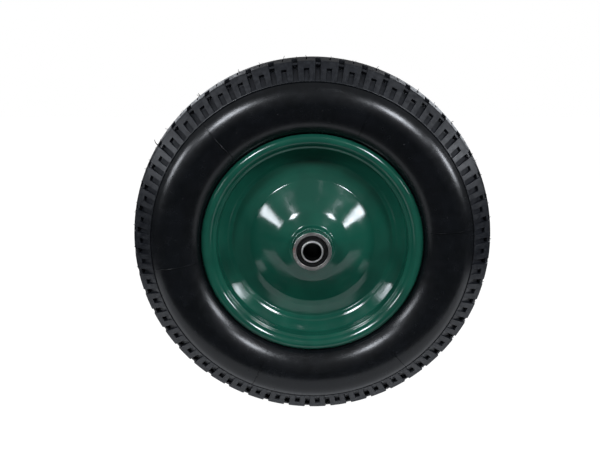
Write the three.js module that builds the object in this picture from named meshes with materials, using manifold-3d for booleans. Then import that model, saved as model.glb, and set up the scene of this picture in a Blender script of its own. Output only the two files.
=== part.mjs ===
// Pneumatic wheelbarrow wheel, nominal 4.00-8: tubed tyre on a two-piece pressed
// steel rim, with a welded hub tube and two flanged ball bearings.
// Millimetres. The axle lies along Y, +Z is up, and the origin is the wheel's centre.
// The front face looks along -Y. The valve is on the back half, at the bottom.
import * as THREE from 'three';
import { mergeVertices } from 'three/addons/utils/BufferGeometryUtils.js';
import Module from 'manifold-3d';

const wasm = await Module();
wasm.setup();

// ---- driving dimensions ----
const gap = 0.3; // clearance between neighbouring pieces

const tyreRadius = 197;
const tyreHalfWidth = 48.6;
const beadRadius = 105.2;
const treadPitchCount = 50; // shoulder slots on each side
const treadSlotWidth = 5.6;
const crownGrooveWidth = 4;
const crownGrooveDepth = 4;

const sheetThickness = 2;
const flangeRadius = 119;

const boreRadius = 9.525; // 3/4 inch axle
const innerRaceRadius = 11.4;
const innerRaceFace = 57.2; // half of the 4 1/2 inch hub length
const cupRadius = 17.46; // 1 3/8 inch cup
const cupFlangeRadius = 20.2;
const cupFlangeThickness = 1.4;
const cupFace = 55.7;
const cupInnerEnd = 43.5;
const cupShoulderRadius = 15.9;
const sealSeatRadius = 16.9;
const sealSeatDepth = 2.2;
const innerSealSeatDepth = 1.6;
const sealThickness = 0.8;
const ballRadius = 2.778; // 7/32 inch balls
const ballPitchRadius = 13.7;
const ballPlane = 49.3;
const ballCount = 8;
const cageInnerRadius = 12.9;
const cageOuterRadius = 14.5;
const cageHalfWidth = 3.8;
const pocketRadius = 3.1;

const hubTubeRadius = 20.6;
const hubTubeBore = cupRadius + gap;
const collarEnd = 42; // where the rim's collar stops on the hub tube
const weldHeight = 2.4;

const stemRoot = { r: 96, h: 11.75 }; // where the valve stem crosses the rim sheet
const stemAngle = Math.atan2(6.5, 7); // the sheet's slope there
const stemRadius = 5.75;
const stemHoleRadius = stemRadius + gap;
const stemFoot = -13.5;
const stemTop = 24;
const insertRadius = 3;
const insertBore = 2.3;
const insertTop = 33;
const threadRadius = 3.85;
const coreBore = 1.2;
const coreSeat = 19;
const capRadius = 5.1;
const capEnd = 36.5;

const wheelSegments = 40;
const tubeSegments = 30;
const hubSegments = 24;
const valveSegments = 16;

// ---- materials ----
function finish(color, roughness, metalness) {
  return new THREE.MeshStandardMaterial({ color, roughness, metalness });
}
const tyreRubber = finish(0x1d1d20, 0.55, 0);
const tubeRubber = finish(0x141414, 0.7, 0);
const greenPaint = finish(0x155a41, 0.2, 0.1);
const bearingSteel = finish(0xa9aaa9, 0.35, 1);
const sealRubber = finish(0x17171a, 0.5, 0);
const zincSteel = finish(0x9c9fa2, 0.4, 1);
const brass = finish(0xb08d45, 0.35, 1);
const blackPlastic = finish(0x121212, 0.4, 0);

const wheelbarrowWheel = new THREE.Group();

function addPiece(name, geometry, material, place = wheelbarrowWheel) {
  const piece = new THREE.Mesh(geometry, material);
  piece.name = name;
  place.add(piece);
  return piece;
}

// ---- helpers ----
function points(pairs) {
  return pairs.map(([r, y]) => new THREE.Vector2(r, y));
}

// A solid of revolution about Y from a closed outline in radius and height.
function turned(outline, segments) {
  const loop = THREE.ShapeUtils.area(outline) < 0 ? [...outline].reverse() : [...outline];
  loop.push(loop[0].clone());
  return new THREE.LatheGeometry(loop, segments);
}

// A plain ring between two radii and two heights.
function ring(innerRadius, outerRadius, low, high, segments) {
  const outline = points([[innerRadius, low], [outerRadius, low], [outerRadius, high], [innerRadius, high]]);
  return turned(outline, segments);
}

// The outline on the front (side -1) or back (side 1), from heights above the mid-plane.
function onSide(outline, side) {
  return outline.map((p) => new THREE.Vector2(p.x, p.y * side));
}

// The same line moved sideways by a distance, with mitred corners.
function offsetLine(line, distance) {
  return line.map((p, i) => {
    const before = line[Math.max(i - 1, 0)];
    const after = line[Math.min(i + 1, line.length - 1)];
    const into = i > 0 ? p.clone().sub(before).normalize() : after.clone().sub(p).normalize();
    const out = i < line.length - 1 ? after.clone().sub(p).normalize() : into.clone();
    const normal = new THREE.Vector2(-into.y - out.y, into.x + out.x).normalize();
    const stretch = -into.y * normal.x + into.x * normal.y;
    return p.clone().addScaledVector(normal, distance / stretch);
  });
}

// The sheet-metal section whose visible face is the given line.
function sheetOutline(line, thickness) {
  return [...line, ...offsetLine(line, thickness).reverse()];
}

function toSolid(geometry) {
  const bare = geometry.clone();
  bare.deleteAttribute('normal');
  bare.deleteAttribute('uv');
  const merged = mergeVertices(bare, 1e-4);
  const vertProperties = new Float32Array(merged.attributes.position.array);
  const triVerts = new Uint32Array(merged.index.array);
  return new wasm.Manifold(new wasm.Mesh({ numProp: 3, vertProperties, triVerts }));
}

function toGeometry(solid) {
  const mesh = solid.getMesh();
  const geometry = new THREE.BufferGeometry();
  geometry.setAttribute('position', new THREE.BufferAttribute(new Float32Array(mesh.vertProperties), 3));
  geometry.setIndex(new THREE.BufferAttribute(new Uint32Array(mesh.triVerts), 1));
  geometry.computeVertexNormals();
  return geometry;
}

// ---- rim ----
// The visible face of one pressed half, from the rolled lip to the collar on the hub tube.
const collarRadius = hubTubeRadius + gap + sheetThickness;
const rimFace = points([
  [flangeRadius, 31.6], [116.6, 35.8], [111, 35.8], [106.5, 30.9], [103.5, 29.3], [102.9, 18.2], [93, 7.4],
  [88.9, 2.3], [86.2, 2.3], [68.3, 10], [37.5, 32.4], [28, 36], [collarRadius, collarEnd],
]);

function rimHalf(side) {
  return turned(onSide(sheetOutline(rimFace, sheetThickness), side), wheelSegments);
}

// ---- tyre ----
// Half of the outside: the bead follows the rim's flange and seat, then comes the sidewall.
const beadLine = offsetLine(rimFace, sheetThickness + gap).slice(2, 5).reverse();
const tyreOutside = [
  ...points([[beadRadius, 17.5]]), ...beadLine,
  ...points([
    [115.5, 30], [119.6, 30], [131, 42.8], [149, tyreHalfWidth], [162, 46.2], [171.5, 39.2],
    [192, 25.4],
  ]),
];
const tyreInside = points([[187, 7], [178, 26], [149, 44.4], [112.5, 23.5]]);

// One groove runs round the middle of the crown.
function tyreOutline() {
  const edge = crownGrooveWidth / 2;
  const groove = points([[tyreRadius, edge], [tyreRadius - crownGrooveDepth, edge - 0.5]]);
  const half = [...tyreOutside, ...groove];
  const outside = [...half, ...onSide(half, -1).reverse()];
  const inside = [...onSide(tyreInside, -1).reverse(), ...tyreInside];
  return [...outside, ...inside];
}

// The space above one shoulder slot's floor, from the crown down to the sidewall's ridge.
function treadSlot(side, angle) {
  const section = new THREE.Shape(points([[38.6, 173], [20.8, 188], [11, 199], [27, 201], [46, 186]]));
  const cutter = new THREE.ExtrudeGeometry(section, { depth: treadSlotWidth, bevelEnabled: false });
  cutter.translate(0, 0, -treadSlotWidth / 2);
  cutter.applyMatrix4(new THREE.Matrix4().makeBasis(
    new THREE.Vector3(0, side, 0), new THREE.Vector3(0, 0, 1), new THREE.Vector3(side, 0, 0)));
  return toSolid(cutter.rotateY(angle));
}

function tyre() {
  let body = toSolid(turned(tyreOutline(), wheelSegments));
  const pitch = (2 * Math.PI) / treadPitchCount;
  for (let i = 0; i < treadPitchCount; i += 1) {
    body = body.subtract(treadSlot(-1, (i + 0.25) * pitch));
    body = body.subtract(treadSlot(1, (i + 0.75) * pitch));
  }
  return toGeometry(body);
}

// ---- inner tube ----
const tubeHalf = points([[103.4, 12], [112.8, 21], [149, 42.2], [174, 26], [184, 6]]);
const tubeSectionCentre = 145;
const tubeHollowShare = 0.95; // the hollow's size against the outside's

function innerTube() {
  const outside = [...tubeHalf, ...onSide(tubeHalf, -1).reverse()];
  const hollow = outside.map((p) => new THREE.Vector2(
    tubeSectionCentre + (p.x - tubeSectionCentre) * tubeHollowShare, p.y * tubeHollowShare));
  const shell = toSolid(turned(outside, tubeSegments)).subtract(toSolid(turned(hollow, tubeSegments)));
  return toGeometry(shell.subtract(stemCutter(stemHoleRadius, -20, 0)));
}

// ---- hub tube and its weld beads ----
function hubTube() {
  const end = cupFace - cupFlangeThickness - gap;
  return ring(hubTubeBore, hubTubeRadius, -end, end, hubSegments);
}

function hubWeld(side) {
  const low = collarEnd + gap;
  const inner = hubTubeRadius + gap;
  const section = points([[inner, low], [collarRadius, low], [inner + 0.9, low + weldHeight * 0.8],
    [inner, low + weldHeight]]);
  return turned(onSide(section, side), hubSegments);
}

// ---- bearings ----
// The ball groove in a race's face, from its inner to its outer end.
function ballGroove(shoulderRadius) {
  const grooveRadius = ballRadius + gap;
  const reach = shoulderRadius - ballPitchRadius;
  const limit = Math.acos(Math.abs(reach) / grooveRadius);
  return [-1, -0.5, 0, 0.5, 1].map((share) => new THREE.Vector2(
    ballPitchRadius + Math.sign(reach) * grooveRadius * Math.cos(share * limit),
    ballPlane + grooveRadius * Math.sin(share * limit)));
}

function innerRace(side) {
  const section = [
    ...points([[boreRadius, cupInnerEnd], [innerRaceRadius, cupInnerEnd]]), ...ballGroove(innerRaceRadius),
    ...points([[innerRaceRadius, innerRaceFace], [boreRadius, innerRaceFace]]),
  ];
  return turned(onSide(section, side), hubSegments);
}

function bearingCup(side) {
  const flangeBack = cupFace - cupFlangeThickness;
  const section = [
    ...points([
      [cupRadius, cupInnerEnd], [cupRadius, flangeBack], [cupFlangeRadius, flangeBack],
      [cupFlangeRadius, cupFace], [sealSeatRadius, cupFace], [sealSeatRadius, cupFace - sealSeatDepth],
      [cupShoulderRadius, cupFace - sealSeatDepth],
    ]),
    ...ballGroove(cupShoulderRadius).reverse(),
    ...points([
      [cupShoulderRadius, cupInnerEnd + innerSealSeatDepth],
      [sealSeatRadius, cupInnerEnd + innerSealSeatDepth], [sealSeatRadius, cupInnerEnd],
    ]),
  ];
  return turned(onSide(section, side), hubSegments);
}

function bearingSeal(side, seatFloor, towardsFace) {
  const near = seatFloor + gap * towardsFace;
  const far = near + sealThickness * towardsFace;
  return ring(innerRaceRadius + gap, sealSeatRadius - gap, near * side, far * side, hubSegments);
}

function ballAngle(index) {
  return (index * 2 * Math.PI) / ballCount;
}

function ballCage(side) {
  const centre = ballPlane * side;
  const band = ring(cageInnerRadius, cageOuterRadius, centre - cageHalfWidth, centre + cageHalfWidth, hubSegments);
  let cage = toSolid(band);
  for (let i = 0; i < ballCount; i += 1) {
    const pocket = new THREE.CylinderGeometry(pocketRadius, pocketRadius, 6, 10);
    pocket.rotateX(Math.PI / 2).translate(0, centre, ballPitchRadius).rotateY(ballAngle(i));
    cage = cage.subtract(toSolid(pocket));
  }
  return toGeometry(cage);
}

function ball(side, index) {
  const sphere = new THREE.IcosahedronGeometry(ballRadius, 1);
  return sphere.translate(0, ballPlane * side, ballPitchRadius).rotateY(ballAngle(index));
}

// ---- valve: each piece is turned about Y, which runs out along the stem ----
function valvePlace() {
  const place = new THREE.Group();
  place.position.set(0, stemRoot.h, -stemRoot.r);
  place.rotation.x = stemAngle;
  wheelbarrowWheel.add(place);
  return place;
}

function stemCutter(radius, low, high) {
  const cutter = new THREE.CylinderGeometry(radius, radius, high - low, valveSegments);
  cutter.translate(0, (low + high) / 2, 0).rotateX(stemAngle);
  return toSolid(cutter.translate(0, stemRoot.h, -stemRoot.r));
}

function drilledRimHalf() {
  return toGeometry(toSolid(rimHalf(1)).subtract(stemCutter(stemHoleRadius, -7, 9)));
}

function valveStem() {
  const bore = insertRadius + gap;
  const section = points([
    [bore, stemFoot], [stemRadius, stemFoot], [stemRadius, 3], [stemRadius - 0.7, 5], [4.9, stemTop],
    [bore, stemTop],
  ]);
  return turned(section, valveSegments);
}

function valveInsert() {
  const shoulder = stemTop + gap;
  const section = points([
    [insertBore, stemFoot], [insertRadius, stemFoot], [insertRadius, shoulder], [threadRadius, shoulder],
    [threadRadius, insertTop], [insertBore, insertTop],
  ]);
  return turned(section, valveSegments);
}

function valveCore() {
  return ring(coreBore, insertBore - gap, coreSeat, insertTop - 1.5, valveSegments);
}

// A LatheGeometry profile that starts and ends on the axis.
function valvePin() {
  const pin = coreBore - 0.35;
  const profile = points([
    [0, coreSeat - 3.5], [insertBore - 0.4, coreSeat - 3.5], [insertBore - 0.4, coreSeat - 1.8],
    [pin, coreSeat - 0.5], [pin, insertTop - 0.6], [0, insertTop - 0.6],
  ]);
  return new THREE.LatheGeometry(profile, valveSegments);
}

function valveCap() {
  const ceiling = insertTop + 1;
  const low = stemTop + gap + 0.9;
  const profile = points([
    [0, ceiling], [threadRadius + gap, ceiling], [threadRadius + gap, low], [capRadius, low],
    [capRadius, capEnd - 0.8], [capRadius - 0.8, capEnd], [0, capEnd],
  ]);
  return new THREE.LatheGeometry(profile, valveSegments);
}

// ---- assembly ----
const valve = valvePlace();

addPiece('spacer_tube', ring(boreRadius + 0.1, innerRaceRadius, gap - cupInnerEnd, cupInnerEnd - gap,
  hubSegments), zincSteel);
addPiece('hub_tube', hubTube(), greenPaint);
addPiece('rim_front', rimHalf(-1), greenPaint);
addPiece('rim_back', drilledRimHalf(), greenPaint);
addPiece('tyre', tyre(), tyreRubber);
addPiece('inner_tube', innerTube(), tubeRubber);

for (const [end, side] of [['front', -1], ['back', 1]]) {
  addPiece(`hub_weld_${end}`, hubWeld(side), greenPaint);
  addPiece(`inner_race_${end}`, innerRace(side), bearingSteel);
  addPiece(`bearing_cup_${end}`, bearingCup(side), bearingSteel);
  addPiece(`outer_seal_${end}`, bearingSeal(side, cupFace - sealSeatDepth, 1), sealRubber);
  addPiece(`inner_seal_${end}`, bearingSeal(side, cupInnerEnd + innerSealSeatDepth, -1), sealRubber);
  addPiece(`ball_cage_${end}`, ballCage(side), zincSteel);
  for (let i = 0; i < ballCount; i += 1) {
    addPiece(`ball_${end}_${i + 1}`, ball(side, i), bearingSteel);
  }
}

addPiece('valve_stem', valveStem(), tubeRubber, valve);
addPiece('valve_insert', valveInsert(), brass, valve);
addPiece('valve_core', valveCore(), brass, valve);
addPiece('valve_pin', valvePin(), brass, valve);
addPiece('valve_cap', valveCap(), blackPlastic, valve);

export default wheelbarrowWheel;
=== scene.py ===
import math
import bmesh
import bpy
import numpy as np
from mathutils import Matrix, Vector


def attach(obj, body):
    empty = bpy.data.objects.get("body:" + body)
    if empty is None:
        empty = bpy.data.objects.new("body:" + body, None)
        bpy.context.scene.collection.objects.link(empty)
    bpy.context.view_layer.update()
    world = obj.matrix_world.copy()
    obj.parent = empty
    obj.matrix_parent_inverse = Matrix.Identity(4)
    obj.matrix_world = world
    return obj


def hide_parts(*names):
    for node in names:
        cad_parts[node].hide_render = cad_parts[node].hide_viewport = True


# Wheelbarrow wheel, 4.00-8. Metres, the axle along Y, the front face looks along -Y.
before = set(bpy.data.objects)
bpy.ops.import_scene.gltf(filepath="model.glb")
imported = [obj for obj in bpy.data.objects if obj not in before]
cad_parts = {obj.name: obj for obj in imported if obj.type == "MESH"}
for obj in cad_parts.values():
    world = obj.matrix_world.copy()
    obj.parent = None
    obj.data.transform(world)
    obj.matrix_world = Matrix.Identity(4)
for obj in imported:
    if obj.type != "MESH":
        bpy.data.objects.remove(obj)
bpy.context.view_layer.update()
mm = 0.001
scene = bpy.context.scene
rng = np.random.default_rng(408)
print("frame loaded:", len(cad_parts), "nodes")


# ---------- small tools ----------
def hexColor(code, alpha=1.0):  # sRGB hex to linear
    parts = [int(code[i:i + 2], 16) / 255 for i in (0, 2, 4)]
    linear = [c / 12.92 if c <= 0.04045 else ((c + 0.055) / 1.055) ** 2.4 for c in parts]
    return (*linear, alpha)


def addNode(tree, kind, values=None, links=None, **settings):
    # values go on sockets by name or number, links are (socket, output) pairs
    node = tree.nodes.new(kind)
    for key, value in settings.items():
        setattr(node, key, value)
    for key, value in (values or {}).items():
        node.inputs[key].default_value = value
    for key, output in (links or {}).items():
        tree.links.new(output, node.inputs[key])
    return node


def newMaterial(name):
    material = bpy.data.materials.new(name)
    material.use_nodes = True
    tree = material.node_tree
    tree.nodes.clear()
    shader = addNode(tree, "ShaderNodeBsdfPrincipled")
    addNode(tree, "ShaderNodeOutputMaterial", links={"Surface": shader.outputs[0]})
    return material, tree, shader


def grey(level):
    return (level, level, level, 1)


def axleCoords(tree):
    # distance from the axle, distance along it, and the plain position, all in metres
    place = addNode(tree, "ShaderNodeTexCoord").outputs["Object"]
    parts = addNode(tree, "ShaderNodeSeparateXYZ", links={0: place})
    flat = addNode(tree, "ShaderNodeCombineXYZ", links={0: parts.outputs[0], 2: parts.outputs[2]})
    radius = addNode(tree, "ShaderNodeVectorMath", links={0: flat.outputs[0]}, operation="LENGTH")
    return radius.outputs["Value"], parts.outputs[1], place


def noise(tree, place, sizeMm, detail=3.0, roughness=0.55):
    # a noise whose lumps are about sizeMm across
    return addNode(tree, "ShaderNodeTexNoise", values={"Scale": 1 / (sizeMm * mm), "Detail": detail,
                   "Roughness": roughness}, links={"Vector": place}).outputs["Fac"]


def bump(tree, height, depthMm, strength=1.0, normal=None):
    links = {"Height": height}
    if normal:
        links["Normal"] = normal
    return addNode(tree, "ShaderNodeBump", values={"Distance": depthMm * mm, "Strength": strength},
                   links=links).outputs["Normal"]


def between(tree, value, low, high, toLow=0.0, toHigh=1.0):
    node = addNode(tree, "ShaderNodeMapRange", values={1: low, 2: high, 3: toLow, 4: toHigh},
                   links={0: value}, interpolation_type="SMOOTHSTEP")
    return node.outputs[0]


def mixColor(tree, share, first, second):
    node = addNode(tree, "ShaderNodeMix", links={0: share}, data_type="RGBA")
    for socket, value in ((node.inputs[6], first), (node.inputs[7], second)):
        if isinstance(value, tuple):
            socket.default_value = value
        else:
            tree.links.new(value, socket)
    return node.outputs[2]


def link(tree, output, shader, socket):
    tree.links.new(output, shader.inputs[socket])


# ---------- outlines: lists of (radius, height) in millimetres ----------
def unit(v):
    return v / max(np.linalg.norm(v), 1e-9)


def rounded(corners, step=12):
    # corners are (r, h) or (r, h, fillet radius); each fillet becomes an arc
    line = []
    for i, corner in enumerate(corners):
        here = np.array(corner[:2], float)
        fillet = corner[2] if len(corner) > 2 else 0
        if not fillet or i in (0, len(corners) - 1):
            line.append(here)
            continue
        toBefore = unit(np.array(corners[i - 1][:2], float) - here)
        toAfter = unit(np.array(corners[i + 1][:2], float) - here)
        opening = math.acos(np.clip(toBefore @ toAfter, -1, 1))
        setBack = fillet / math.tan(opening / 2)
        centre = here + unit(toBefore + toAfter) * fillet / math.sin(opening / 2)
        start, end = here + toBefore * setBack, here + toAfter * setBack
        turn = math.pi - opening
        count = max(2, math.ceil(math.degrees(turn) / step))
        a, b = unit(start - centre), unit(end - centre)
        for k in range(count + 1):
            share = k / count
            blend = (math.sin((1 - share) * turn) * a + math.sin(share * turn) * b) / math.sin(turn)
            line.append(centre + blend * fillet)
    return np.array(line)


def shifted(line, distance):
    # the line moved to its left by a distance
    ahead = np.diff(line, axis=0)
    ahead /= np.linalg.norm(ahead, axis=1)[:, None]
    left = np.stack([-ahead[:, 1], ahead[:, 0]], 1)
    normals = np.vstack([left[:1], left[:-1] + left[1:], left[-1:]])
    normals /= np.linalg.norm(normals, axis=1)[:, None]
    own = np.vstack([left[:1], left])
    return line + normals * (distance / np.sum(normals * own, 1).clip(0.3))[:, None]


def smoothCurve(knots, count):
    # an even Catmull-Rom curve through the knots
    knots = np.array(knots, float)
    padded = np.vstack([2 * knots[0] - knots[1], knots, 2 * knots[-1] - knots[-2]])
    fine = []
    for i in range(1, len(padded) - 2):
        p = padded[i - 1:i + 3]
        for t in np.linspace(0, 1, 24, endpoint=False):
            fine.append(0.5 * (2 * p[1] + (p[2] - p[0]) * t + (2 * p[0] - 5 * p[1] + 4 * p[2] - p[3]) * t**2
                               + (3 * p[1] - p[0] - 3 * p[2] + p[3]) * t**3))
    fine.append(knots[-1])
    return evenly(np.array(fine), count)


def evenly(line, count):
    along = lengths(line)
    wanted = np.linspace(0, along[-1], count)
    return np.stack([np.interp(wanted, along, line[:, k]) for k in (0, 1)], 1)


def lengths(line):
    return np.concatenate([[0], np.cumsum(np.linalg.norm(np.diff(line, axis=0), axis=1))])


def toSide(line, side):
    return np.asarray(line, float) * np.array([1, side])


# ---------- meshes ----------
def spunGrid(radius, height, angles):
    # radius and height are arrays over (angle, outline point), in millimetres
    s, c = np.sin(angles)[:, None], np.cos(angles)[:, None]
    return np.stack([radius * s, height + 0 * s, radius * c], -1) * mm


def gridFaces(rows, columns, flip):
    i, j = np.meshgrid(np.arange(rows), np.arange(columns), indexing="ij")
    nextI, nextJ = (i + 1) % rows, (j + 1) % columns
    corners = [i * columns + j, nextI * columns + j, nextI * columns + nextJ, i * columns + nextJ]
    faces = np.stack(corners, -1).reshape(-1, 4)
    return faces[:, ::-1] if flip else faces


def meshPiece(name, verts, faces, material, sharpAngle=32):
    mesh = bpy.data.meshes.new(name)
    mesh.from_pydata(np.asarray(verts, float).reshape(-1, 3), [], [list(map(int, face)) for face in faces])
    mesh.validate()
    mesh.shade_smooth()
    mesh.set_sharp_from_angle(angle=math.radians(sharpAngle))
    piece = bpy.data.objects.new(name, mesh)
    scene.collection.objects.link(piece)
    mesh.materials.append(material)
    return piece


def area(line):
    x, y = line[:, 0], line[:, 1]
    return np.sum(x * np.roll(y, -1) - np.roll(x, -1) * y) / 2


def fullTurn(count):
    return np.arange(count) * 2 * np.pi / count


def repeated(outline, count):
    # the same outline at every angle, as radius and height arrays
    return [np.tile(outline[:, k], (count, 1)) for k in (0, 1)]


def spunPiece(name, radius, height, angles, material, sharpAngle=32):
    inwards = area(np.stack([radius[0], height[0]], 1)) < 0
    faces = gridFaces(len(angles), radius.shape[1], inwards)
    return meshPiece(name, spunGrid(radius, height, angles), faces, material, sharpAngle)


def turned(name, outline, segments, material, sharpAngle=32):
    # a closed outline spun about the axle
    radius, height = repeated(np.asarray(outline, float), segments)
    return spunPiece(name, radius, height, fullTurn(segments), material, sharpAngle)


def joined(parts):
    # several (verts, faces) as one
    verts, faces, start = [], [], 0
    for partVerts, partFaces in parts:
        verts += [tuple(v) for v in partVerts]
        faces += [[n + start for n in f] for f in partFaces]
        start += len(partVerts)
    return verts, faces


def fit(piece, body, slot, *nodes):
    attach(piece, body)
    if nodes:
        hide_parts(*nodes)
    return piece


# ---------- materials ----------
paintLook = {
    "color": "154C3D", "deep": "124336", "driftMm": 45, "dust": "6E8378", "dustMm": 0.5,
    "roughness": 0.11, "smearMm": 14,
    "orangePeelMm": 2.2, "orangePeelDepthMm": 0.004, "pressWaveMm": 22, "pressWaveDepthMm": 0.05,
}


def greenEnamel():
    # baked enamel on pressed steel: a smooth wet gloss with a faint orange peel and a few specks of dust
    look = paintLook
    material, tree, shader = newMaterial("bakedGreenEnamel")
    place = axleCoords(tree)[2]
    drift = between(tree, noise(tree, place, look["driftMm"], 2), 0.35, 0.65)
    color = mixColor(tree, drift, hexColor(look["deep"]), hexColor(look["color"]))
    specks = between(tree, noise(tree, place, look["dustMm"], 1), 0.76, 0.8, 0, 0.25)
    color = mixColor(tree, specks, color, hexColor(look["dust"]))
    link(tree, color, shader, "Base Color")
    smears = noise(tree, place, look["smearMm"], 4)
    link(tree, between(tree, smears, 0.4, 0.75, look["roughness"], look["roughness"] + 0.09),
         shader, "Roughness")
    peel = noise(tree, place, look["orangePeelMm"], 2)
    wave = noise(tree, place, look["pressWaveMm"], 1)
    normal = bump(tree, wave, look["pressWaveDepthMm"], 1.0)
    link(tree, bump(tree, peel, look["orangePeelDepthMm"], 1.0, normal), shader, "Normal")
    shader.inputs["IOR"].default_value = 1.5
    return material


tyreLook = {
    "wall": "080A0C", "wallBloom": "0D0F12", "bloomMm": 18, "wallRoughness": 0.25,
    "tread": "111317", "treadDust": "1C1E22", "gritMm": 3.5, "treadRoughness": 0.36,
    "ridgeRadiusMm": 171.2,  # where the side wall ends and the tread begins
    "skinGrainMm": 0.9, "skinDepthMm": 0.035, "swellMm": 30, "swellDepthMm": 0.12,
}


def tyreRubber():
    # moulded carbon-black rubber: a satin side wall that still shines from the mould, and a greyer tread
    look = tyreLook
    material, tree, shader = newMaterial("mouldedTyreRubber")
    radius, _, place = axleCoords(tree)
    ridge = look["ridgeRadiusMm"] * mm
    onTread = between(tree, radius, ridge - 0.4 * mm, ridge + 1.2 * mm)
    cloud = between(tree, noise(tree, place, look["bloomMm"], 4), 0.3, 0.72)
    wall = mixColor(tree, cloud, hexColor(look["wall"]), hexColor(look["wallBloom"]))
    grit = between(tree, noise(tree, place, look["gritMm"], 4), 0.42, 0.7)
    tread = mixColor(tree, grit, hexColor(look["tread"]), hexColor(look["treadDust"]))
    link(tree, mixColor(tree, onTread, wall, tread), shader, "Base Color")
    wallRough = between(tree, noise(tree, place, 9, 5), 0.3, 0.75, look["wallRoughness"] - 0.02,
                        look["wallRoughness"] + 0.03)
    treadRough = between(tree, noise(tree, place, 5, 4), 0.3, 0.7, look["treadRoughness"] - 0.07,
                         look["treadRoughness"] + 0.1)
    rough = addNode(tree, "ShaderNodeMix", links={0: onTread, 2: wallRough, 3: treadRough})
    link(tree, rough.outputs[0], shader, "Roughness")
    # the mould's sand-blasted skin, drawn about twice as coarse as it is
    skin = bump(tree, noise(tree, place, look["skinGrainMm"], 3), look["skinDepthMm"], 1.0)
    swell = noise(tree, place, look["swellMm"], 2)
    link(tree, bump(tree, swell, look["swellDepthMm"], 0.6, skin), shader, "Normal")
    shader.inputs["IOR"].default_value = 1.42
    return material


rubberDust = "3D3C3B"


def plainRubber(name, color, roughness, lumpMm, depthMm, index=1.5):
    # soft black rubber with a dull skin and a little talc or dust on it
    material, tree, shader = newMaterial(name)
    place = axleCoords(tree)[2]
    dust = between(tree, noise(tree, place, lumpMm * 4, 5), 0.5, 0.8, 0, 0.5)
    link(tree, mixColor(tree, dust, hexColor(color), hexColor(rubberDust)), shader, "Base Color")
    link(tree, between(tree, noise(tree, place, lumpMm * 2, 3), 0.3, 0.7, roughness - 0.08, roughness + 0.1),
         shader, "Roughness")
    link(tree, bump(tree, noise(tree, place, lumpMm, 3), depthMm, 0.8), shader, "Normal")
    shader.inputs["IOR"].default_value = index
    return material


# near black painted into the race bore: a painted shade standing in for the shadow inside the deep bore
paintedBoreShade = "080808"


def turnedMetal(name, color, shade, roughness, ringMm, stain=None, boreMm=0):
    # turned metal: fine rings left by the tool round the axle, and an uneven film of oil or stain
    material, tree, shader = newMaterial(name)
    radius, along, place = axleCoords(tree)
    reach = addNode(tree, "ShaderNodeMath", links={0: radius, 1: along}, operation="ADD")
    rings = addNode(tree, "ShaderNodeTexNoise", values={"W": 0.0, "Scale": 1 / (ringMm * mm), "Detail": 2.0},
                    links={"W": reach.outputs[0]}, noise_dimensions="1D").outputs["Fac"]
    film = between(tree, noise(tree, place, 7, 4), 0.3, 0.7)
    base = mixColor(tree, film, hexColor(color), hexColor(shade))
    if stain:  # a little rust where damp has sat, at one side of the ring
        sideways = addNode(tree, "ShaderNodeSeparateXYZ", links={0: place}).outputs[0]
        damp = between(tree, sideways, -16.5 * mm, -18.5 * mm, 0.02, 0.9)
        blotch = between(tree, noise(tree, place, 3, 5), 0.35, 0.6)
        patch = addNode(tree, "ShaderNodeMath", links={0: damp, 1: blotch}, operation="MULTIPLY").outputs[0]
        base = mixColor(tree, patch, base, hexColor(stain))
        link(tree, between(tree, patch, 0, 1, 1.0, 0.3), shader, "Metallic")
    else:
        shader.inputs["Metallic"].default_value = 1.0
    if boreMm:  # painted shade: the bore is painted near black for the shadow deep inside it
        boreShadeShare = between(tree, radius, (boreMm + 0.1) * mm, boreMm * mm)
        base = mixColor(tree, boreShadeShare, base, hexColor(paintedBoreShade))
    link(tree, base, shader, "Base Color")
    link(tree, between(tree, rings, 0.3, 0.7, roughness - 0.06, roughness + 0.1), shader, "Roughness")
    link(tree, bump(tree, rings, 0.01, 0.5), shader, "Normal")
    return material


def capPlastic():
    # moulded black polypropylene: soft satin with a fine spark texture
    material, tree, shader = newMaterial("blackPolypropylene")
    place = axleCoords(tree)[2]
    link(tree, mixColor(tree, between(tree, noise(tree, place, 3, 3), 0.3, 0.7), hexColor("141414"),
                        hexColor("1D1D1D")), shader, "Base Color")
    link(tree, between(tree, noise(tree, place, 1, 2), 0.3, 0.7, 0.33, 0.45), shader, "Roughness")
    link(tree, bump(tree, noise(tree, place, 0.4, 2), 0.01, 0.6), shader, "Normal")
    shader.inputs["IOR"].default_value = 1.49
    return material


enamel = greenEnamel()
casing = tyreRubber()
butyl = plainRubber("butylRubber", "131313", 0.6, 0.8, 0.02)
nitrile = plainRubber("nitrileSeal", "050505", 0.5, 0.5, 0.05, 1.28)
cupSteel = turnedMetal("turnedBearingSteel", "CBC9C6", "AAA8A5", 0.34, 0.25, stain="7A4A3E")
raceSteel = turnedMetal("groundRaceSteel", "F0F0EE", "D2D1CC", 0.42, 0.2, boreMm=9.75)
ballSteel = turnedMetal("polishedBallSteel", "C4C6C8", "B0B2B4", 0.12, 0.4)
cageSteel = turnedMetal("pressedCageSteel", "A9AAA6", "8B8B86", 0.34, 0.5)
darkSteel = turnedMetal("phosphatedSteel", "0A0A0B", "060607", 0.6, 0.4)
brassAlloy = turnedMetal("machinedBrass", "B28E4A", "8F6E36", 0.3, 0.3)
polypropylene = capPlastic()
print("materials made")


# ---------- rim: two pressed halves ----------
rimShape = {
    "sheet": 2.0, "segments": 300, "valveHole": 6.05,
    "seamRadius": 87.5, "seamHalfWidth": 1.6, "seamGap": 0.25,  # the ring where the halves are welded
}
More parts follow.
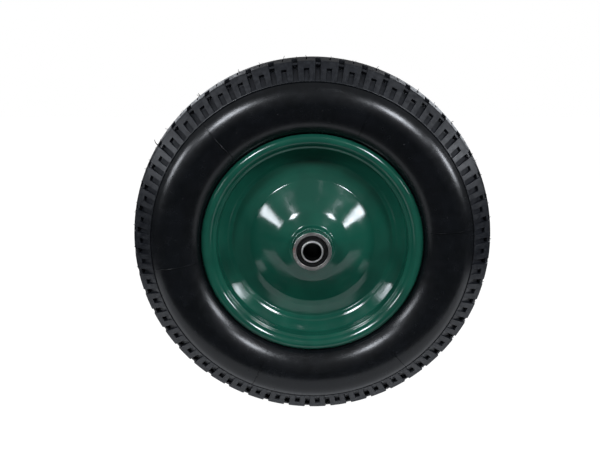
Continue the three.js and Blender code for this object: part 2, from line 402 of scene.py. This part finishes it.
# the face one looks at, from the rolled lip down the wall, over the cone and up the collar
rimCorners = [
    (119.0, 31.6), (116.4, 36.0, 5.5), (111.4, 35.9, 2.5), (108.7, 34.2, 9.0), (106.4, 30.9, 1.8),
    (103.5, 29.3, 2.3), (103.0, 18.0, 3.0), (98.0, 13.55, 3.0), (93.8, 9.6, 1.5), (92.0, 8.36, 2.3),
    (88.7, 5.3, 2.2), (76.0, 7.7, 25.0), (68.7, 9.93, 5.0), (37.5, 31.4, 28.0), (22.9, 36.6, 3.4),
    (22.9, 42.0),
]


def rimOutline(side):
    face = rounded(rimCorners, 9)
    back = shifted(face, rimShape["sheet"])
    onSeam = np.abs(back[:, 0] - rimShape["seamRadius"]) < rimShape["seamHalfWidth"]
    back[onSeam, 1] = rimShape["seamGap"]
    return toSide(np.vstack([face, back[::-1]]), side)


rimFront = turned("rim_front_pressing", rimOutline(-1), rimShape["segments"], enamel, 40)
fit(rimFront, "wheel", "green_paint", "rim_front")


def spindle(name, radius, low, high, place, sides=96):
    # a temporary cutting cylinder along its own Y
    outline = [(0.02, low), (radius, low), (radius, high), (0.02, high)]
    cutter = turned(name, outline, sides, enamel)
    cutter.matrix_world = place
    return cutter


def carve(piece, cutter, sharpAngle=40):
    cut = piece.modifiers.new("cut", "BOOLEAN")
    cut.operation = "DIFFERENCE"
    cut.solver = "EXACT"
    cut.object = cutter
    bpy.context.view_layer.update()
    done = bpy.data.meshes.new_from_object(piece.evaluated_get(bpy.context.evaluated_depsgraph_get()))
    piece.modifiers.clear()
    piece.data = done
    bpy.data.objects.remove(cutter)
    done.set_sharp_from_angle(angle=math.radians(sharpAngle))
    return piece


# the valve stands square on the well's sloping wall, at the bottom of the back half
stemRoot = (96.0, 11.75)  # radius and height where the stem crosses the sheet
stemLean = math.atan2(6.5, 7)
stemPlace = (Matrix.Translation(Vector((0, stemRoot[1], -stemRoot[0])) * mm)
             @ Matrix.Rotation(stemLean, 4, "X"))

rimBack = turned("rim_back_pressing", rimOutline(1), rimShape["segments"], enamel, 40)
rimBack = carve(rimBack, spindle("valve_drill", rimShape["valveHole"], -6, 8, stemPlace))
fit(rimBack, "wheel", "green_paint", "rim_back")
print("rim made")


# ---------- tyre ----------
tyreShape = {
    "pitches": 50,  # shoulder slots on each side
    "firstSlotDeg": 1.8,
    "slotTop": 2.9, "slotFloor": 2.45,  # half widths
    "slotDepth": 4.4, "crownSlotDepth": 5.2, "tieBarDepth": 1.3,
    "pocketDepth": 3.0,
    "crownGroove": 2.0, "crownGrooveDepth": 4.0,
    "moldLineDeg": [-40.4, 21.9, 83.0, 142.7, 203.0, 262.0],
    "moldLineHeight": 0.9, "moldLineRadius": 150.0,
    "moldLineFoot": 0.5, "moldLineTop": 0.28,  # half widths at that radius
    "moldLineFrom": 127.0,  # the radius where they begin
    "rimClearance": 0.28, "beadFloor": 19.5, "beadReach": 112.5,  # the stretch that lies on the rim
}
wallKnots = [(119.7, 30.6), (122.8, 36.0), (129.5, 42.2), (139.0, 46.8), (149.0, 48.5), (158.0, 47.5),
             (165.0, 44.6), (170.4, 40.4)]
insideKnots = [(112.5, 23.5), (130.0, 36.5), (149.0, 44.2), (165.0, 38.0), (178.0, 26.0), (187.0, 7.0)]
shoulderLine = [(171.4, 39.3), (192.0, 25.5, 1.6), (196.2, 9.5, 60), (197.0, 0)]
slotSpacing = 360 / tyreShape["pitches"]
stationRadius = 185.0  # where the widths across the tread are measured
halfSpacing = np.radians(slotSpacing) * stationRadius / 2  # from a slot to the rib beside it, in mm


def treadStations():
    # distances from the ridge up the shoulder and over the crown, thick where edges are
    ridge = [0, 0.15, 0.35, 0.75, 0.95, 1.15, 1.35, 1.6]
    pocket = [3.4, 5.2, 7.2, 9.4, 11.6, 13.4, 13.8, 15.9, 16.25, 17.2]
    tieBar = [19.2, 20.7, 21.0, 21.5, 22.2, 22.7, 23.1, 23.5, 24.0, 24.5, 25.0]
    crown = [27.6, 30.4, 33.4, 36.6, 37.1, 40.0, 42.6, 43.0]
    return np.array(ridge + pocket + tieBar + crown)


def ridgeHeight(t):
    # a narrow groove under the tread and a thin bead above it; positive stands out
    return np.interp(t, [-1.5, -1.15, -0.5, 0.15, 0.35, 0.75, 0.95, 1.15],
                     [0, -0.9, -0.9, 0.4, 0.5, 0.5, 0.1, 0])


def softBox(distance, top, floor):
    return np.clip((top - np.abs(distance)) / (top - floor), 0, 1)


def treadDepth(t, across):
    # how far the rubber is cut away at t up the tread and across from the slot's middle, in mm
    s = tyreShape
    fromPocket = halfSpacing - np.abs(across)
    slotRun = np.interp(t, [1.15, 1.35, 19.2, 20.7, 21.5, 24.0, 24.5, 25.0, 36.6, 37.1],
                        [0, 0.7, s["slotDepth"], s["slotDepth"], s["tieBarDepth"], s["tieBarDepth"],
                         s["crownSlotDepth"], s["crownSlotDepth"], s["crownSlotDepth"], 0])
    pocketRun = np.interp(t, [1.35, 1.6, 13.4, 13.8, 15.9, 16.25],
                          [0, 0.35, 2.5, s["pocketDepth"], s["pocketDepth"], 0])
    sipeRun = np.interp(t, [30.4, 33.4, 42.6, 43.0], [0, 2.5, 2.5, 0])
    slot = slotRun[None, :] * softBox(across, s["slotTop"], s["slotFloor"])[:, None]
    pocket = pocketRun[None, :] * softBox(fromPocket, s["slotTop"], s["slotFloor"])[:, None]
    sipe = sipeRun[None, :] * softBox(fromPocket, 0.75, 0.4)[:, None]
    return np.maximum(np.maximum(slot, pocket), sipe)


def tyreAngles():
    # one pitch of stations on both sides of a slot, and a few more at each mould line
    near = np.array([0, 0.4, 0.75, 2.45, 2.9, 3.4, halfSpacing / 2])
    halfPitch = np.concatenate([near, (halfSpacing - near[:-1])[::-1]])
    pitch = np.concatenate([-halfPitch[1:-1][::-1], halfPitch]) / stationRadius
    turns = np.radians(tyreShape["firstSlotDeg"] + slotSpacing * np.arange(tyreShape["pitches"]))
    regular = (turns[:, None] + pitch[None, :]).ravel()
    foot, top = tyreShape["moldLineFoot"], tyreShape["moldLineTop"]
    edges = np.array([-foot, -top, top, foot]) / tyreShape["moldLineRadius"]
    lines = np.radians(tyreShape["moldLineDeg"])[:, None] + edges[None, :]
    return np.unique(np.round(np.mod(np.concatenate([regular, lines.ravel()]), 2 * np.pi), 6))


def fromSlot(angles, shiftDeg):
    # signed distance from the nearest slot's middle, measured at the station radius
    pitch = np.radians(slotSpacing)
    offset = angles - np.radians(tyreShape["firstSlotDeg"] + shiftDeg)
    return (np.mod(offset + pitch / 2, pitch) - pitch / 2) * stationRadius


def moldLine(angles):
    # 1 on the six thin flash lines that run down the side wall
    near = np.zeros_like(angles)
    for degrees in tyreShape["moldLineDeg"]:
        turn = np.abs(np.mod(angles - math.radians(degrees) + np.pi, 2 * np.pi) - np.pi)
        away = turn * tyreShape["moldLineRadius"]
        near = np.maximum(near, np.clip((tyreShape["moldLineFoot"] - away) / 0.25, 0, 1))
    return near


def outward(line):
    # unit normals to the left of the line's direction, which is outwards here
    slope = np.gradient(line, axis=0)
    slope /= np.linalg.norm(slope, axis=1)[:, None]
    return np.stack([-slope[:, 1], slope[:, 0]], 1)


def tyreHalf(angles, shiftDeg):
    # (radius, height) over (angle, outline point) from the bead's toe to the middle of the crown
    seat = shifted(rounded(rimCorners[2:8], 12), rimShape["sheet"] + tyreShape["rimClearance"])
    seat = seat[(seat[:, 1] > tyreShape["beadFloor"]) & (seat[:, 0] < tyreShape["beadReach"])][::-1]
    bead = np.vstack([[(104.6, 17.6)], seat, [(114.3, 32.0), (115.8, 30.6), (118.9, 30.05)]])
    wall = smoothCurve(wallKnots, 34)
    treadLine = rounded(shoulderLine, 6)
    along = lengths(treadLine)
    t = treadStations()
    crownEdge = along[-1] - tyreShape["crownGroove"]
    t = np.concatenate([t[t < crownEdge - 0.6], [crownEdge - 0.05, crownEdge + 0.35]])
    tread = np.stack([np.interp(t, along, treadLine[:, k]) for k in (0, 1)], 1)
    # the short stretch under the ridge belongs to the wall
    under = np.array([-1.5, -1.15, -0.5])
    direction = unit(treadLine[0] - wall[-1])
    foot = treadLine[0] + under[:, None] * direction
    line = np.vstack([bead, wall[:-1], foot, tread])
    normals = outward(line)
    rise = np.zeros((len(angles), len(line)))
    first = len(line) - len(t)
    rise[:, first:] -= treadDepth(t, fromSlot(angles, shiftDeg))
    ridge = ridgeHeight(np.concatenate([under, t]))
    rise[:, first - 3:] += ridge[None, :]
    rise[:, -1] -= tyreShape["crownGrooveDepth"]
    onWall = (line[:, 0] > tyreShape["moldLineFrom"]) & (np.arange(len(line)) < first - 3)
    rise[:, onWall] += tyreShape["moldLineHeight"] * moldLine(angles)[:, None]
    return line[None, :, 0] + rise * normals[None, :, 0], line[None, :, 1] + rise * normals[None, :, 1]


def makeTyre():
    angles = tyreAngles()
    frontR, frontH = tyreHalf(angles, 0)
    backR, backH = tyreHalf(angles, slotSpacing / 2)
    inside = smoothCurve(insideKnots, 12)
    inner = np.vstack([toSide(inside, 1), toSide(inside, -1)[::-1]])
    innerR, innerH = repeated(inner, len(angles))
    radius = np.concatenate([frontR, backR[:, ::-1], innerR], 1)
    height = np.concatenate([-frontH, backH[:, ::-1], innerH], 1)
    return spunPiece("tyre_casing", radius, height, angles, casing, 30)


tyre = fit(makeTyre(), "wheel", "tyre_rubber", "tyre")
print("tyre made:", len(tyre.data.vertices), "points")


# ---------- rubber hairs and vent pips left by the mould ----------
# each kind: (radius, height), shortest and longest, furthest lean, thickness
hairs = {
    "shoulder": ((194.6, 16), (0.6, 1.4), 0.5, 0.45),
    "besideSlot": ((196.5, 5), (0.4, 1.3), 0.6, 0.35),
    "crownFront": ((196.4, 4), (1.6, 3.2), 0.4, 0.38),
    "crownBack": ((196.4, 4), (1.0, 2.8), 0.5, 0.38),
}
crownHairs = {"everyDeg": 14.4, "firstDeg": -8.7}
longHairs = {"spot": (196.3, 7), "thick": 0.6, "placed": [(-57.5, 5.5, 0.55), (-37.0, 3.0, 0.1)]}
# spots are (radius, height); each vent's slope is its outward direction
slotVent = {"spot": (187.2, 27.1), "slope": (0.455, 0.89), "depth": 3.4, "size": 0.75, "tall": 3.3}
wallVents = {
    "count": 20, "everyDeg": 18, "firstDeg": 34,
    "outer": ((164.6, 42.3), (0.55, 0.83), 0.7, 0.5), "inner": ((143.5, 48.1), (-0.18, 0.98), 0.6, 0.4),
}


def hair(angle, radius, height, length, lean, side, thick):
    # a thin tapering whisker standing on the rubber
    root = Vector((math.sin(angle) * radius, height * side, math.cos(angle) * radius)) * mm
    out = Vector((math.sin(angle), 0, math.cos(angle)))
    tangent = Vector((math.cos(angle), 0, -math.sin(angle)))
    path = [root + (out * k + tangent * lean * k * k / max(length, 0.1)) * mm
            for k in np.linspace(-0.6, length, 6)]
    return sweep(path, [thick * (1 - 0.55 * k / 5) * mm for k in range(6)], 6)


def sweep(path, radii, sides):
    # a round tube along a path, closed at both ends
    verts, faces = [], []
    for k, point in enumerate(path):
        ahead = (path[min(k + 1, len(path) - 1)] - path[max(k - 1, 0)]).normalized()
        across = ahead.cross(Vector((0, 1, 0.01))).normalized()
        up = across.cross(ahead)
        for i in range(sides):
            a = 2 * math.pi * i / sides
            verts.append(point + (across * math.cos(a) + up * math.sin(a)) * radii[k])
    for k in range(len(path) - 1):
        for i in range(sides):
            j = (i + 1) % sides
            faces.append([k * sides + i, k * sides + j, (k + 1) * sides + j, (k + 1) * sides + i])
    faces.append(list(range(sides))[::-1])
    faces.append([(len(path) - 1) * sides + i for i in range(sides)])
    return verts, faces


def pip(angle, radius, height, side, normal, size, tall):
    # a low round button where a mould vent was
    root = Vector((math.sin(angle) * radius, height * side, math.cos(angle) * radius)) * mm
    out = Vector((math.sin(angle) * normal[0], normal[1] * side, math.cos(angle) * normal[0])).normalized()
    path = [root + out * k * tall * mm for k in (-0.5, 0.0, 0.55, 0.85, 1.0)]
    return sweep(path, [size * k * mm for k in (1.1, 1.0, 0.85, 0.6, 0.25)], 10)


def anyHair(kind, angle, side):
    spot, reach, lean, thick = hairs[kind]
    return hair(angle, *spot, rng.uniform(*reach), rng.uniform(-lean, lean), side, thick)


def makeSpews():
    parts = []
    slots = np.radians(tyreShape["firstSlotDeg"] + slotSpacing * np.arange(tyreShape["pitches"]))
    slope = unit(np.array(slotVent["slope"]))
    floorSpot = np.array(slotVent["spot"]) - slotVent["depth"] * slope
    for k, slot in enumerate(slots):
        for side, turn in ((-1, 0.0), (1, math.radians(slotSpacing / 2))):
            parts.append(pip(slot + turn, *floorSpot, side, slope, slotVent["size"], slotVent["tall"]))
            jitter = rng.uniform(-0.8, 0.8) / stationRadius
            parts.append(anyHair("shoulder", slot + turn + jitter + 0.012, side))
            if k % 5:
                parts.append(anyHair("besideSlot", slot + turn - 0.05 + jitter, side))
    for k in range(round(360 / crownHairs["everyDeg"])):
        angle = math.radians(crownHairs["firstDeg"] + crownHairs["everyDeg"] * k)
        parts.append(anyHair("crownFront", angle, -1))
        parts.append(anyHair("crownBack", angle + 0.12, 1))
    for degrees, length, lean in longHairs["placed"]:
        angle = math.radians(degrees)
        parts.append(hair(angle, *longHairs["spot"], length, lean, -1, longHairs["thick"]))
    for k in range(wallVents["count"]):
        for side in (-1, 1):
            angle = math.radians(wallVents["firstDeg"] + wallVents["everyDeg"] * k + 3 * side)
            for spot, slope, size, tall in (wallVents["outer"], wallVents["inner"]):
                parts.append(pip(angle, *spot, side, slope, size, tall))
                angle += 0.16
    verts, faces = joined(parts)
    return meshPiece("tyre_vent_hairs", verts, faces, casing, 50)


fit(makeSpews(), "wheel", "tyre_rubber")


# ---------- inner tube ----------
def closed(corners, step=15):
    # a closed outline with its corners rounded; corners are (r, h) or (r, h, fillet radius)
    middle = (np.array(corners[0][:2], float) + np.array(corners[-1][:2], float)) / 2
    return rounded([tuple(middle), *corners, tuple(middle)], step)[:-1]


tubeShape = {
    "knots": [(103.6, 0), (103.9, 12), (113.2, 21.5), (131, 35), (149, 41.8), (164, 34.5), (176, 24),
              (185.4, 0)],
    "middle": (145, 0), "innerShare": 0.96,  # the inner skin is the outer one drawn in to this share
    "segments": 160,
}


def makeInnerTube():
    front = smoothCurve(tubeShape["knots"], 40)
    outside = np.vstack([front, toSide(front, -1)[::-1][1:-1]])
    middle, segments = np.array(tubeShape["middle"]), tubeShape["segments"]
    parts = []
    for share, inward in ((1.0, False), (tubeShape["innerShare"], True)):
        outline = middle + (outside - middle) * share
        grid = spunGrid(*repeated(outline, segments), fullTurn(segments))
        parts.append((grid.reshape(-1, 3), gridFaces(segments, len(outline), (area(outline) < 0) != inward)))
    verts, faces = joined(parts)
    return meshPiece("inner_tube_shell", verts, faces, butyl, 60)


innerTube = carve(makeInnerTube(), spindle("tube_drill", rimShape["valveHole"], -20, 0.5, stemPlace))
fit(innerTube, "wheel", "tube_rubber", "inner_tube")


# ---------- hub tube, weld beads and bearings ----------
hub = {
    "tubeBore": 17.76, "tubeRadius": 20.6, "tubeEnd": 54.0,
    "weldRipples": 52, "weldRipple": 0.22, "weldWidth": 1.95, "weldHeight": 2.1, "weldFoot": 42.25,
    "ballPitch": 13.7, "ballRadius": 2.778, "ballPlane": 49.3, "balls": 8,
    "grooveClearance": 0.12, "pocketClearance": 0.25, "outerSeal": 53.8, "innerSeal": 44.8,
    "spacerBore": 9.7, "spacerRadius": 11.35, "spacerEnd": 43.1,
}
hubOutline = closed([
    (hub["tubeBore"], -hub["tubeEnd"], 0.3), (hub["tubeRadius"], -hub["tubeEnd"], 0.5),
    (hub["tubeRadius"], hub["tubeEnd"], 0.5), (hub["tubeBore"], hub["tubeEnd"], 0.3),
])
fit(turned("hub_tube_body", hubOutline, 180, enamel), "wheel", "green_paint", "hub_tube")


def weldBead(name, side):
    # a fillet weld: a rounded bead with the ripples the torch leaves and a slightly wandering edge
    angles = fullTurn(360)
    ripple = hub["weldRipple"] * np.abs(np.sin(angles * hub["weldRipples"] / 2))
    rough = ripple + 0.12 * np.sin(3 * angles + 0.7) + 0.1 * np.sin(7 * angles + 2.1)
    radii = [np.full(len(angles), hub["tubeRadius"] + 0.15)]
    heights = [np.full(len(angles), hub["weldFoot"])]
    for a in np.linspace(0, math.pi / 2, 8):
        radii.append(hub["tubeRadius"] + 0.3 + (hub["weldWidth"] + rough) * math.cos(a))
        heights.append(hub["weldFoot"] + (hub["weldHeight"] + rough) * math.sin(a))
    radius, height = np.column_stack(radii), np.column_stack(heights) * side
    return spunPiece(name, radius, height, angles, enamel, 50)


def ballTrack(shoulder, count=7):
    # the arc of the ball groove across a race, from its inner end to its outer end
    reach = shoulder - hub["ballPitch"]
    grooveRadius = hub["ballRadius"] + hub["grooveClearance"]
    limit = math.acos(min(1, abs(reach) / grooveRadius))
    sign = 1 if reach > 0 else -1
    return [(hub["ballPitch"] + sign * grooveRadius * math.cos(a),
             hub["ballPlane"] + grooveRadius * math.sin(a))
            for a in np.linspace(-limit, limit, count)]


def bearingCup(name, side):
    # the pressed flanged cup, with the fine line where its lip is crimped over the seal
    corners = [
        (17.46, 43.5, 0.3), (17.46, 54.3), (20.2, 54.3, 0.25), (20.2, 55.7, 0.45), (18.75, 55.7, 0.1),
        (18.6, 55.52), (18.35, 55.52), (18.2, 55.72, 0.1), (17.15, 55.72, 0.3), (16.9, 55.35, 0.15),
        (16.9, 53.55), (15.9, 53.5), *ballTrack(15.9)[::-1], (15.9, 45.1), (16.9, 45.1), (16.9, 43.5, 0.2),
    ]
    return turned(name, toSide(closed(corners), side), 180, cupSteel, 28)


def innerRace(name, side):
    corners = [(9.525, 43.5, 0.3), (11.4, 43.5, 0.3), *ballTrack(11.4), (11.4, 57.2, 0.6),
               (9.525, 57.2, 0.55)]
    return turned(name, toSide(closed(corners), side), 140, raceSteel, 28)


def sealRing(name, side, floor, towards):
    # a moulded seal: a stiff flat ring, a shallow channel and a thin lip that wipes the inner race
    section = [(16.6, 0.0, 0.1), (16.6, 0.8, 0.2), (14.9, 0.8, 0.15), (14.5, 0.45, 0.15), (13.2, 0.45, 0.15),
               (12.8, 0.8, 0.15), (11.95, 0.75, 0.1), (11.7, 0.4, 0.1), (11.85, 0.0, 0.1)]
    corners = [(r, (floor + h * towards) * side, *rest) for r, h, *rest in section]
    return turned(name, closed(corners), 140, nitrile, 28)


def ballCage(name, side):
    outline = closed([(12.95, 45.6, 0.2), (14.45, 45.6, 0.2), (14.45, 53.0, 0.2), (12.95, 53.0, 0.2)])
    band = turned(name, toSide(outline, side), 160, cageSteel, 28)
    for i in range(hub["balls"]):
        turn = Matrix.Rotation(2 * math.pi * i / hub["balls"], 4, "Y")
        lift = Matrix.Translation(Vector((0, hub["ballPlane"] * side, 0)) * mm)
        place = turn @ lift @ Matrix.Rotation(math.pi / 2, 4, "X")
        pocketRadius = hub["ballRadius"] + hub["pocketClearance"]
        band = carve(band, spindle("pocket", pocketRadius, 10, 17, place, 24))
    return band


def pinched(piece, gapMm=0.03):
    # closes the tiny ring of points left where an outline meets the axis
    mesh = bmesh.new()
    mesh.from_mesh(piece.data)
    bmesh.ops.remove_doubles(mesh, verts=mesh.verts, dist=gapMm * mm)
    mesh.to_mesh(piece.data)
    mesh.free()
    return piece


def bearingBall(name, side, index):
    arc = np.linspace(-math.pi / 2, math.pi / 2, 25)
    outline = np.stack([0.012 + hub["ballRadius"] * np.cos(arc), hub["ballRadius"] * np.sin(arc)], 1)
    ball = pinched(turned(name, outline, 40, ballSteel, 60))
    angle = 2 * math.pi * index / hub["balls"]
    spot = (math.sin(angle) * hub["ballPitch"], hub["ballPlane"] * side, math.cos(angle) * hub["ballPitch"])
    ball.matrix_world = Matrix.Translation(Vector(spot) * mm) @ Matrix.Rotation(0.7 * index, 4, "X")
    return ball


for end, side in (("front", -1), ("back", 1)):
    fit(weldBead("hub_weld_bead_" + end, side), "wheel", "green_paint", "hub_weld_" + end)
    fit(bearingCup("flanged_cup_" + end, side), "wheel", "bearing_steel", "bearing_cup_" + end)
    fit(innerRace("inner_ring_" + end, side), "axle_sleeve", "bearing_steel", "inner_race_" + end)
    outerSeal = sealRing("wiping_seal_" + end, side, hub["outerSeal"], 1)
    fit(outerSeal, "wheel", "seal_rubber", "outer_seal_" + end)
    innerSeal = sealRing("rear_seal_" + end, side, hub["innerSeal"], -1)
    fit(innerSeal, "wheel", "seal_rubber", "inner_seal_" + end)
    fit(ballCage("ribbon_cage_" + end, side), "cage_" + end, "zinc_steel", "ball_cage_" + end)
    for i in range(hub["balls"]):
        node = f"ball_{end}_{i + 1}"
        fit(bearingBall("steel_" + node, side, i), "cage_" + end, "bearing_steel", node)

spacerOutline = closed([
    (hub["spacerBore"], -hub["spacerEnd"], 0.2), (hub["spacerRadius"], -hub["spacerEnd"], 0.2),
    (hub["spacerRadius"], hub["spacerEnd"], 0.2), (hub["spacerBore"], hub["spacerEnd"], 0.2),
])
fit(turned("spacer_sleeve", spacerOutline, 120, darkSteel), "axle_sleeve", "zinc_steel", "spacer_tube")
print("hub made")


# ---------- valve: each piece is turned about its own stem's axis ----------
valveShape = {
    "threadPitch": 0.8, "threadRadius": 3.85, "threadDepth": 0.45,
    "threadRun": (24.6, 32.7), "threadFade": 0.5,  # it dies away over this much at both ends
    "capRidges": 24, "capRidge": 0.32, "skirtRadius": 5.1, "skirtRun": (26.3, 34.6),
}


def onStem(piece, body, slotName, node):
    piece.matrix_world = stemPlace
    return fit(piece, body, slotName, node)


def valveInsert():
    # the brass insert, with its thread as a true helix above the rubber
    pitch, angles = valveShape["threadPitch"], fullTurn(60)
    low, high = valveShape["threadRun"]
    steps = np.arange(24.3, 33.0, 0.1)
    phase = (steps[None, :] - pitch * angles[:, None] / (2 * np.pi)) / pitch
    wave = np.abs(np.mod(phase, 1) - 0.5) * 2
    fade = np.clip(np.minimum(steps - low, high - steps) / valveShape["threadFade"], 0, 1)
    thread = valveShape["threadRadius"] - valveShape["threadDepth"] * (1 - fade[None, :] * (1 - wave))
    below = closed([(2.3, -13.5, 0.2), (3.0, -13.5, 0.2), (3.0, 24.3)])[1:]
    above = np.array([(2.75, 33.0), (2.3, 32.6), (2.3, 24.0)])
    belowR, belowH = repeated(below, len(angles))
    aboveR, aboveH = repeated(above, len(angles))
    radius = np.concatenate([belowR, thread, aboveR], 1)
    height = np.concatenate([belowH, np.tile(steps, (len(angles), 1)), aboveH], 1)
    return spunPiece("threaded_insert", radius, height, angles, brassAlloy, 40)


def dustCap():
    # ridges round the skirt, a rounded crown and a blind hole
    ridges, skirtRadius = valveShape["capRidges"], valveShape["skirtRadius"]
    low, high = valveShape["skirtRun"]
    angles = fullTurn(ridges * 6)
    wave = valveShape["capRidge"] * np.abs(np.sin(angles * ridges / 2)) ** 0.6
    outline = closed([(4.2, 25.2, 0.15), (skirtRadius, 25.2, 0.3), (skirtRadius, 36.5, 1.3), (0.012, 36.5),
                      (0.012, 34.0), (4.15, 34.0, 0.3)])
    onSkirt = np.interp(outline[:, 1], [25.4, low, high, 35.6], [0, 1, 1, 0]) * (outline[:, 0] > 4.7)
    skirt = np.array([(skirtRadius, h) for h in np.linspace(low, high, 4)])
    place = int(np.argmax((outline[:, 0] > 5.0) & (outline[:, 1] > 30)))
    outline = np.insert(outline, place, skirt, axis=0)
    onSkirt = np.insert(onSkirt, [place] * len(skirt), 1.0)
    radius = outline[None, :, 0] - (valveShape["capRidge"] - wave[:, None]) * onSkirt[None, :]
    height = np.tile(outline[:, 1], (len(angles), 1))
    return pinched(spunPiece("ridged_dust_cap", radius, height, angles, polypropylene, 35))


stemOutline = closed([
    (3.2, -13.5, 0.2), (5.75, -13.5, 0.4), (5.75, 3.0, 0.8), (5.1, 4.4, 0.8),
    (5.0, 12.0), (4.95, 23.2, 0.5), (4.5, 24.0, 0.3), (3.2, 24.0, 0.2),
])
onStem(turned("rubber_stem", stemOutline, 64, butyl), "wheel", "tube_rubber", "valve_stem")
onStem(valveInsert(), "wheel", "brass", "valve_insert")
coreOutline = closed([(1.25, 19.0, 0.15), (2.0, 19.0, 0.15), (2.0, 31.5, 0.2), (1.25, 31.5, 0.1)])
onStem(turned("valve_core_barrel", coreOutline, 48, brassAlloy), "wheel", "brass", "valve_core")
pinOutline = closed([(0.012, 15.5), (1.9, 15.5, 0.2), (1.9, 17.2, 0.2), (0.85, 18.5, 0.2), (0.85, 32.4, 0.15),
                     (0.012, 32.4)])
onStem(pinched(turned("spring_pin", pinOutline, 40, brassAlloy)), "pin", "brass", "valve_pin")
onStem(dustCap(), "cap", "cap_plastic", "valve_cap")
print("valve made")


# ---------- studio ----------
studio = {
    "floorDrop": 0.1973, "floorHalf": 6.0, "floorGlow": 0.992, "floorShade": 0.12,
    # what the paint mirrors: a white sheet with a soft edge, and the dark room beyond it
    "sheetFront": -0.175, "sheetSide": 0.55, "sheetEdge": 0.02, "sheetWhite": 0.8, "beyond": 0.05,
    "roomLow": 0.04, "roomHigh": 0.24, "lampColor": (0.89, 0.93, 1.0),
}


def whiteFloor():
    # seamless white paper: burnt out to the eye, with only a trace of the wheel's shadow
    material, tree, shader = newMaterial("seamlessPaper")
    tree.nodes.clear()
    eye = addNode(tree, "ShaderNodeLightPath").outputs["Is Camera Ray"]
    glow = addNode(tree, "ShaderNodeEmission", values={"Color": grey(studio["floorGlow"]), "Strength": 1.0})
    paper = addNode(tree, "ShaderNodeBsdfDiffuse", values={"Color": grey(studio["floorShade"])})
    seen = addNode(tree, "ShaderNodeAddShader", links={0: glow.outputs[0], 1: paper.outputs[0]})
    place = addNode(tree, "ShaderNodeTexCoord").outputs["Object"]
    where = addNode(tree, "ShaderNodeSeparateXYZ", links={0: place})
    front, edge = studio["sheetFront"], studio["sheetEdge"]
    inFront = between(tree, where.outputs[1], front - edge, front)
    aside = addNode(tree, "ShaderNodeMath", links={0: where.outputs[0]}, operation="ABSOLUTE").outputs[0]
    inside = between(tree, aside, studio["sheetSide"] + edge, studio["sheetSide"])
    both = addNode(tree, "ShaderNodeMath", links={0: inFront, 1: inside}, operation="MULTIPLY").outputs[0]
    white = between(tree, both, 0, 1, studio["beyond"], studio["sheetWhite"])
    dim = addNode(tree, "ShaderNodeBsdfDiffuse", links={"Color": white})
    choice = addNode(tree, "ShaderNodeMixShader", links={0: eye, 1: dim.outputs[0], 2: seen.outputs[0]})
    addNode(tree, "ShaderNodeOutputMaterial", links={"Surface": choice.outputs[0]})
    return material


floorCorners = studio["floorHalf"] * np.array([(-1, -1, 0), (1, -1, 0), (1, 1, 0), (-1, 1, 0)])
floor = meshPiece("paper_floor", floorCorners, [[0, 1, 2, 3]], whiteFloor())
floor.location.z = -studio["floorDrop"]

world = bpy.data.worlds.new("studio")
scene.world = world
world.use_nodes = True
sky = world.node_tree
sky.nodes.clear()
gaze = addNode(sky, "ShaderNodeTexCoord").outputs["Generated"]
heading = addNode(sky, "ShaderNodeSeparateXYZ", links={0: gaze})
roomLight = between(sky, heading.outputs[2], -0.3, 0.9, studio["roomLow"], studio["roomHigh"])
room = addNode(sky, "ShaderNodeBackground", links={"Color": roomLight})
white = addNode(sky, "ShaderNodeBackground", values={"Color": grey(1.0), "Strength": 1.0})
eyeRay = addNode(sky, "ShaderNodeLightPath").outputs["Is Camera Ray"]
backdrop = addNode(sky, "ShaderNodeMixShader", links={0: eyeRay, 1: room.outputs[0], 2: white.outputs[0]})
addNode(sky, "ShaderNodeOutputWorld", links={"Surface": backdrop.outputs[0]})

# soft boxes: direction from the wheel, distance, width, height, watts
softBoxes = {
    "upper_left": ((-0.49, -0.67, 0.56), 1.5, 0.27, 0.3, 11),
    "upper_right": ((0.49, -0.67, 0.56), 1.5, 0.27, 0.3, 11),
    "side_left": ((-0.85, -0.41, 0.33), 1.5, 0.26, 0.28, 5.5),
    "side_right": ((0.85, -0.41, 0.33), 1.5, 0.26, 0.28, 7.5),
    "overhead_slot": ((0.154, -0.502, 0.850), 1.5, 0.07, 0.08, 0.13),
    "rear_left": ((-0.45, 0.85, 0.35), 1.8, 0.7, 0.7, 2.5),
    "rear_right": ((0.5, 0.85, 0.3), 1.8, 0.7, 0.7, 3.5),
}
for name, (direction, distance, width, tall, watts) in softBoxes.items():
    lamp = bpy.data.lights.new(name, "AREA")
    lamp.shape = "RECTANGLE"
    lamp.size = width
    lamp.size_y = tall
    lamp.energy = watts
    lamp.color = studio["lampColor"]
    holder = bpy.data.objects.new(name, lamp)
    scene.collection.objects.link(holder)
    aim = Vector(direction).normalized()
    holder.location = aim * distance
    holder.rotation_euler = aim.to_track_quat("Z", "Y").to_euler()

# ---------- camera ----------
shot = {"distance": 0.730, "elevationDeg": 13.71, "lens": 39.15, "shiftX": -0.0205, "shiftY": 0.0234}
tilt = math.radians(shot["elevationDeg"])
lensBody = bpy.data.cameras.new("camera")
lensBody.lens = shot["lens"]
lensBody.shift_x = shot["shiftX"]
lensBody.shift_y = shot["shiftY"]
lensBody.clip_start = 0.01
camera = bpy.data.objects.new("camera", lensBody)
scene.collection.objects.link(camera)
camera.location = Vector((0, -math.cos(tilt), math.sin(tilt))) * shot["distance"]
camera.rotation_euler = (math.pi / 2 - tilt, 0, 0)
scene.camera = camera
scene.view_settings.view_transform = "Standard"
